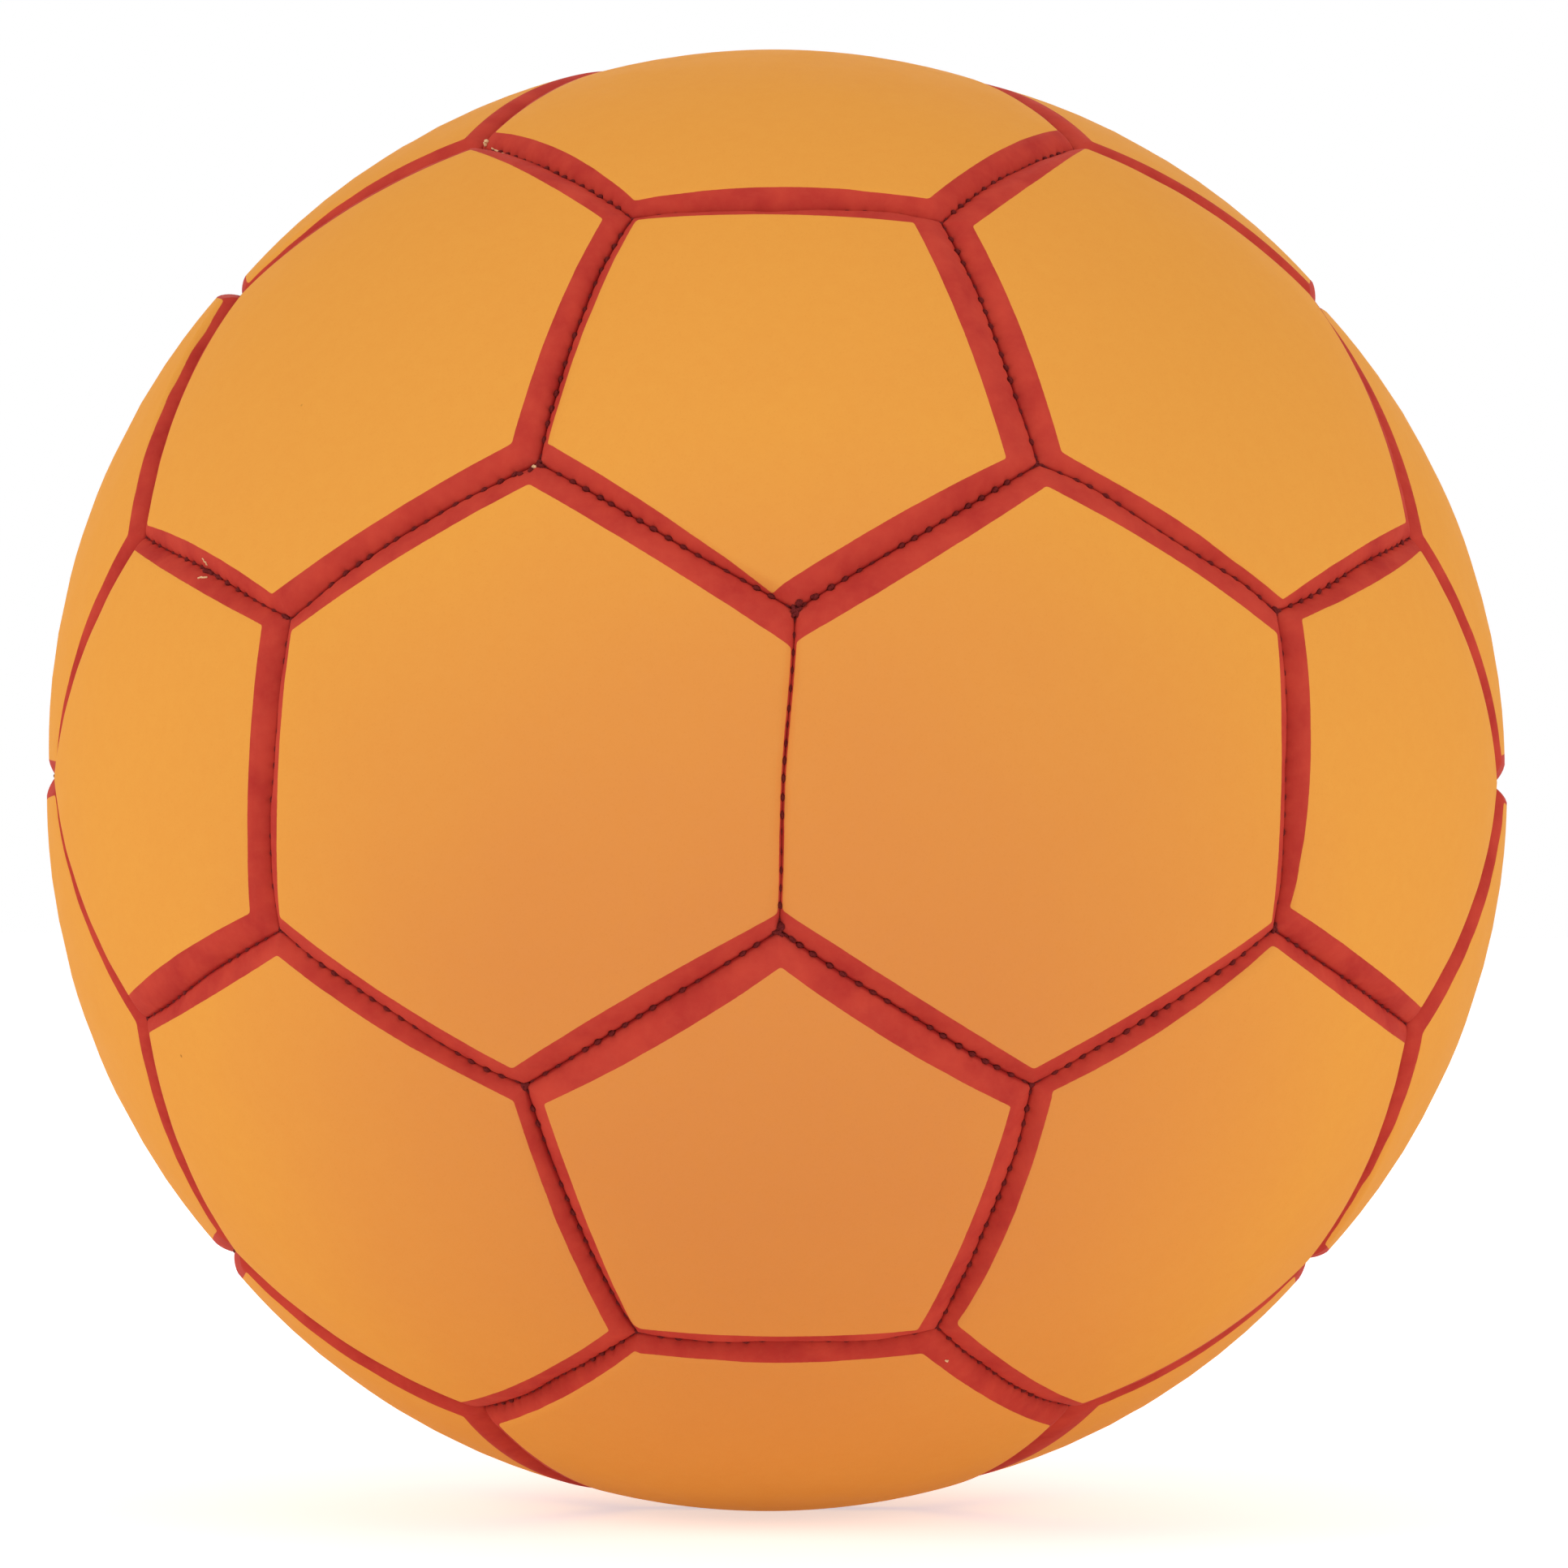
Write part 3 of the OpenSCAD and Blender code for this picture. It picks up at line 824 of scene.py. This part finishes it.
def rubber_material(name, dark, light, rough):
    m = Nodes(name)
    colour = m.mix(m.ramp(m.noise(5.0, 4.0, 0.6), 0.35, 0.75), dark, light)
    dust = m.ramp(m.noise(0.4, 2.0, 0.7), 0.62, 0.8)
    colour = m.mix(m.times(dust, 0.25), colour, linear(110, 104, 98))
    normal = m.bump(m.noise(0.25, 3.0, 0.6), 0.02, 0.6)
    rough = m.ramp(m.noise(2.2, 3.0), 0.3, 0.7, rough - 0.07, rough + 0.07)
    return m.set(Base_Color=colour, Normal=normal, Roughness=rough, Specular_IOR_Level=0.4)


COVER = cover_material()
THREAD = thread_material()
PALE = pale_thread_material()


# The covers' meshes
def new_object(name, verts, faces, material, smooth_faces=None):
    """Object from vertices in mm. smooth_faces tells for each face whether it is shaded smooth."""
    mesh = bpy.data.meshes.new(name)
    mesh.from_pydata((np.asarray(verts) * MM).tolist(), [], faces)
    mesh.materials.append(material)
    mesh.polygons.foreach_set("use_smooth", smooth_faces or [True] * len(faces))
    mesh.update()
    obj = bpy.data.objects.new(name, mesh)
    bpy.context.scene.collection.objects.link(obj)
    return obj


def add_values(obj, name, values):
    """Stores a number for each vertex, for the material."""
    layer = obj.data.attributes.new(name, "FLOAT", "POINT")
    layer.data.foreach_set("value", np.asarray(values, np.float32))


covers = []  # axis and object of each
for info in panels:
    panel = Panel(info)
    verts, faces, smooth_faces = panel.build()
    obj = new_object(info["name"], verts, faces, COVER, smooth_faces)
    p = unit(verts)
    for k in range(MAX_EDGES):
        add_values(obj, f"band_{k}", panel.band_distance(k, p) if k < panel.n else np.full(len(p), NO_BAND))
    # distance from the nearest crease, for the painted shade in the groove; 0, the darkest, below the
    # groove's bottom
    crease = np.min([panel.crease_distance(k, p) for k in range(panel.n)], axis=0)
    below = np.linalg.norm(verts, axis=1) < FOOT_R - 0.2
    add_values(obj, "seam", np.where(below, 0.0, crease))
    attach(obj, "root")
    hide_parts(info["node"])
    covers.append((panel.axis, obj))


# Stitches, knots and loose ends
TUBE_SIDES = 8
STITCH_HALF = 0.30  # half the length of a stitch
STITCH_SLANT = 0.30  # how far it goes across for each mm along
STITCH_SUNK = 0.24  # how far it lies under the groove's bottom
STITCH_RISE = 0.36  # how much less a plain one does
STITCH_DIP = 0.14  # how much lower its ends are
THREAD_PUSH = 0.5  # how far the points of a loose bit wander, in the photograph's pixels


def tube(path, radius):
    """A closed tube along points, with blunt tips. radius is a number for each point."""
    path = np.asarray(path, float)
    tangent = unit(np.gradient(path, axis=0))
    side = unit(np.cross(tangent, unit(path.mean(0))))
    top = np.cross(side, tangent)
    angle = np.linspace(0, 2 * math.pi, TUBE_SIDES, endpoint=False)[:, None]
    verts = [path[0] - tangent[0] * radius[0] * TIP]
    for p, r, s, t in zip(path, radius, side, top):
        verts += list(p + r * (np.cos(angle) * s + np.sin(angle) * t))
    verts.append(path[-1] + tangent[-1] * radius[-1] * TIP)
    around = [(j, (j + 1) % TUBE_SIDES) for j in range(TUBE_SIDES)]
    faces = []
    for i in range(len(path) - 1):
        a, b = 1 + i * TUBE_SIDES, 1 + (i + 1) * TUBE_SIDES
        faces += [(a + j, b + j, b + k, a + k) for j, k in around]
    last = len(verts) - 1
    for j, k in around:
        faces += [(0, 1 + j, 1 + k), (last, last - TUBE_SIDES + k, last - TUBE_SIDES + j)]
    return np.array(verts), faces


def gather(parts):
    """One mesh of several."""
    verts, faces, first = [], [], 0
    for v, f in parts:
        verts.append(v)
        faces += [tuple(i + first for i in face) for face in f]
        first += len(v)
    return np.concatenate(verts), faces


def seam_frame(key, share):
    """Point on a seam's crease, its direction along the seam and across it."""
    a, b = corners[key[0]], corners[key[1]]
    m = unit(np.cross(a, b))
    angle = math.acos(float(a @ b)) * share
    p = math.cos(angle) * a + math.sin(angle) * np.cross(m, a)
    p = unit(p + m * swayed(facts[key]["sway"], share) / FOOT_R)
    return p, np.cross(m, p), m


def stitch(key, f, i):
    """A short thread that lies at a slant across the bottom of the groove."""
    r = np.random.default_rng(SEED + 5000 + 60 * key[0] + 7 * key[1] + 13 * i)
    share = f["share"][i]
    p, along, across = seam_frame(key, share)
    s = share * f["length"]
    ends = min(s, f["length"] - s)
    foot = FOOT_R + smooth(ends / FOOT_EASE) * (TIGHT_FOOT_R - FOOT_R if f["tight"] else f["deep"](s))
    base = float(foot) - STITCH_SUNK + STITCH_RISE * min(f["open"][i], 1.0)
    slant = r.normal(STITCH_SLANT, 0.12)
    half = STITCH_HALF + r.normal(0, 0.03)
    path, radius = [], []
    for u in np.linspace(-1, 1, 7):
        path.append(p * (base - STITCH_DIP * abs(u) ** 3) + along * half * u + across * slant * half * u)
        radius.append(THREAD_R * (0.62 + 0.38 * math.sqrt(1 - 0.9 * u * u)))
    return tube(path, radius)


groups = {True: [], False: []}  # tubes by whether a pentagon is at the seam
for key, f in facts.items():
    for i in range(STITCHES):
        groups[f["is_pentagon"]].append(stitch(key, f, i))

KNOT_FOOT_R = 85.38  # where a faint knot lies
KNOT_RISE = 0.60  # how much higher a strong one lies
KNOT_ARCH = 0.16  # how much higher the middle of its bits is
# Strength of the knots that the photograph shows, by the numbers of their corners
KNOTS = {
    1: 1.0, 2: 0.8, 3: 0.5, 4: 0.4, 5: 0.15, 6: 0.1, 7: 0.25, 8: 0.2, 9: 0.6, 10: 0.4, 11: 0.6, 12: 0.7,
    13: 0.3, 14: 0.2,
}
FAINT = 0.15  # strength of the others in view


def knot(corner, r, strength):
    """A few crossed bits of thread where three seams meet."""
    p = corners[corner]
    x = unit(np.cross(p, (0.2, 0.9, 0.3)))
    y = np.cross(p, x)
    foot = KNOT_FOOT_R + KNOT_RISE * strength
    out = []
    for _ in range(2 + round(2 * strength)):
        angle = r.uniform(0, math.pi)
        d = math.cos(angle) * x + math.sin(angle) * y
        off = r.normal(0, 0.10 + 0.14 * strength, 2)
        half = r.uniform(0.2, 0.3) + 0.25 * strength
        path = []
        for u in np.linspace(-1, 1, 6):
            path.append(p * (foot + KNOT_ARCH * (1 - u * u)) + d * half * u + x * off[0] + y * off[1])
        out.append(tube(path, [0.17 + 0.05 * strength] * 6))
    return out


for number in range(len(corners)):
    r = np.random.default_rng(SEED + 900 + number)
    label = seen_corner.get(number)
    strength = KNOTS.get(label, FAINT) if label else r.uniform(0.0, 0.8)
    groups[True] += knot(number, r, strength)

# Knots and frayed ends that the photograph shows: the places of both ends in its pixels, the radius in mm and
# whether the thread is pale there
BITS = [
    ((248, 702), (258, 705), 0.32, False),
    ((259, 706), (268, 711), 0.20, False),
    ((247, 713), (256, 711), 0.12, True),
    ((252, 689), (255, 696), 0.10, True),
    ((660, 573), (669, 571), 0.30, False),
    ((653, 582), (656, 578), 0.24, False),
    ((655, 574), (659, 576), 0.26, True),
    ((638, 584), (643, 584), 0.26, False),
    ((977, 753), (981, 748), 0.34, False),
    ((983, 745), (987, 740), 0.40, False),
    ((1000, 735), (1006, 731), 0.28, False),
    ((962, 1139), (965, 1145), 0.36, False),
    ((973, 1156), (979, 1161), 0.28, False),
    ((597, 176), (601, 174), 0.28, True),
    ((604, 178), (618, 183), 0.12, True),
    ((1163, 1673), (1167, 1673), 0.12, True),
    ((344, 757), (351, 760), 0.26, False),
]


def surface_r(p):
    """Radius of the covers' outer side at a unit vector, in mm."""
    best = FOOT_R
    for axis, obj in covers:
        if axis @ p > 0.85:
            # from outside the ball toward its middle
            hit, place, _, _ = obj.ray_cast(Vector((p * 0.1).tolist()), Vector((-p).tolist()))
            if hit:
                best = max(best, place.length / MM)
    return best


def bit(start, end, radius, r):
    """A short bit of thread that lies on the covers."""
    path = []
    for u in np.linspace(0, 1, 7):
        x, y = (1 - u) * np.array(start) + u * np.array(end) + r.normal(0, THREAD_PUSH, 2)
        p = unit(seen_at(x, y))
        path.append(p * (surface_r(p) + radius * 0.45))
    swell = 0.25 * np.sin(np.linspace(0, math.pi, 7))
    return tube(path, radius * (0.75 + swell + r.normal(0, 0.05, 7)))


def add_threads(name, parts, material, node=None):
    obj = new_object(name, *gather(parts), material)
    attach(obj, "root")
    if node:
        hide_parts(node)


r = np.random.default_rng(SEED + 77)
pale = []
bpy.context.view_layer.update()
for start, end, radius, is_pale in BITS:
    (pale if is_pale else groups[True]).append(bit(start, end, radius, r))
add_threads("loose_thread_ends", pale, PALE)
add_threads("pentagon_seam_stitches", groups[True], THREAD, "pentagon_seam_threads")
add_threads("hexagon_seam_stitches", groups[False], THREAD, "hexagon_seam_threads")

# CAD nodes that stay
FOAM, WEAVE = foam_material(), weave_material()
BLADDER = rubber_material("bladder_rubber", linear(34, 32, 32), linear(52, 50, 50), 0.55)
HOUSING = rubber_material("housing_rubber", linear(24, 23, 23), linear(40, 38, 38), 0.5)
CORE = rubber_material("core_rubber", linear(58, 57, 56), linear(82, 80, 78), 0.6)
for node, material in {
    "pentagon_foam_pads": FOAM,
    "hexagon_foam_pads": FOAM,
    "pentagon_fabric_backings": WEAVE,
    "hexagon_fabric_backings": WEAVE,
    "bladder": BLADDER,
    "valve_housing": HOUSING,
    "valve_core": CORE,
}.items():
    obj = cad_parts[node]
    for slot_ in obj.material_slots:
        slot_.material = material

# Floor, light and camera
scene = bpy.context.scene
FLOOR_Z = -BALL_R * MM
FLOOR_GLOW = 0.23  # the floor is a dim light table
FLOOR_SEEN_GLOW = 0.55  # and is seen a little brighter, so that it ends in white
FLOOR_HALF, FLOOR_CELLS = 6.0, 24


def stage_floor():
    m = Nodes("floor")
    colour = m.mix(m.ramp(m.noise(160), 0.3, 0.7), (0.86, 0.86, 0.86, 1), (0.84, 0.84, 0.84, 1))
    m.set(Base_Color=colour, Roughness=0.9, Specular_IOR_Level=0.1)
    strength = m.ramp(m.camera_side(), 0, 1, FLOOR_GLOW, FLOOR_SEEN_GLOW)
    glow = m.add("ShaderNodeEmission", inputs={"Color": WHITE, "Strength": strength})
    both = m.add("ShaderNodeAddShader", inputs={0: m.shader.outputs[0], 1: glow.outputs[0]})
    m.put(m.tree.nodes["Material Output"], 0, both.outputs[0])
    grid = np.linspace(-FLOOR_HALF, FLOOR_HALF, FLOOR_CELLS + 1)
    row = len(grid)
    starts = [j * row + i for j in range(FLOOR_CELLS) for i in range(FLOOR_CELLS)]
    mesh = bpy.data.meshes.new("floor")
    mesh.from_pydata(
        [(x, y, FLOOR_Z) for y in grid for x in grid], [], [(a, a + 1, a + row + 1, a + row) for a in starts]
    )
    mesh.materials.append(m.owner)
    obj = bpy.data.objects.new("floor", mesh)
    scene.collection.objects.link(obj)


stage_floor()

scene.world = bpy.data.worlds.new("studio")
sky = Nodes(scene.world)
sky.set(Color=(1.0, 0.93, 0.925, 1), Strength=0.58)
white = sky.add("ShaderNodeBackground", inputs={"Color": WHITE, "Strength": 1.0})
ways = {0: sky.camera_side(), 1: sky.shader.outputs[0], 2: white.outputs[0]}
pick = sky.add("ShaderNodeMixShader", inputs=ways)
sky.put(sky.tree.nodes["World Output"], 0, pick.outputs[0])


def area_light(name, place, size, power, colour):
    """A round light that faces the ball's middle."""
    light = bpy.data.lights.new(name, "AREA")
    light.shape = "DISK"
    light.size = size
    light.energy = power
    light.color = colour
    obj = bpy.data.objects.new(name, light)
    obj.location = place
    obj.rotation_mode = "QUATERNION"
    obj.rotation_quaternion = (-Vector(place)).to_track_quat("-Z", "Y")
    scene.collection.objects.link(obj)


area_light("left", (-1.4, -0.75, 0.75), 0.9, 8.3, (0.98, 1.0, 0.94))
area_light("right", (1.25, -0.95, 0.70), 1.0, 7.1, (0.98, 1.0, 0.95))
area_light("back", (0.2, 1.45, 0.85), 1.3, 3.5, (1.0, 0.98, 0.96))

SENSOR = 36.0
camera = bpy.data.objects.new("camera", bpy.data.cameras.new("camera"))
scene.collection.objects.link(camera)
scene.camera = camera
data = camera.data
data.sensor_fit = "HORIZONTAL"
data.sensor_width = SENSOR
data.lens = FOCAL_PX / PHOTO * SENSOR
data.shift_x = (PHOTO / 2 - CENTRE_PX[0]) / PHOTO
data.shift_y = (CENTRE_PX[1] - PHOTO / 2) / PHOTO
data.clip_start, data.clip_end = 0.01, 50
right, depth, up = TURN  # the photograph's directions in the ball's frame
turn = Matrix([[right[i], up[i], -depth[i]] for i in range(3)])
place = -depth * DISTANCE * MM
camera.matrix_world = Matrix.Translation(Vector(place.tolist())) @ turn.to_4x4()

scene.view_settings.view_transform = "Standard"

bpy.context.view_layer.update()
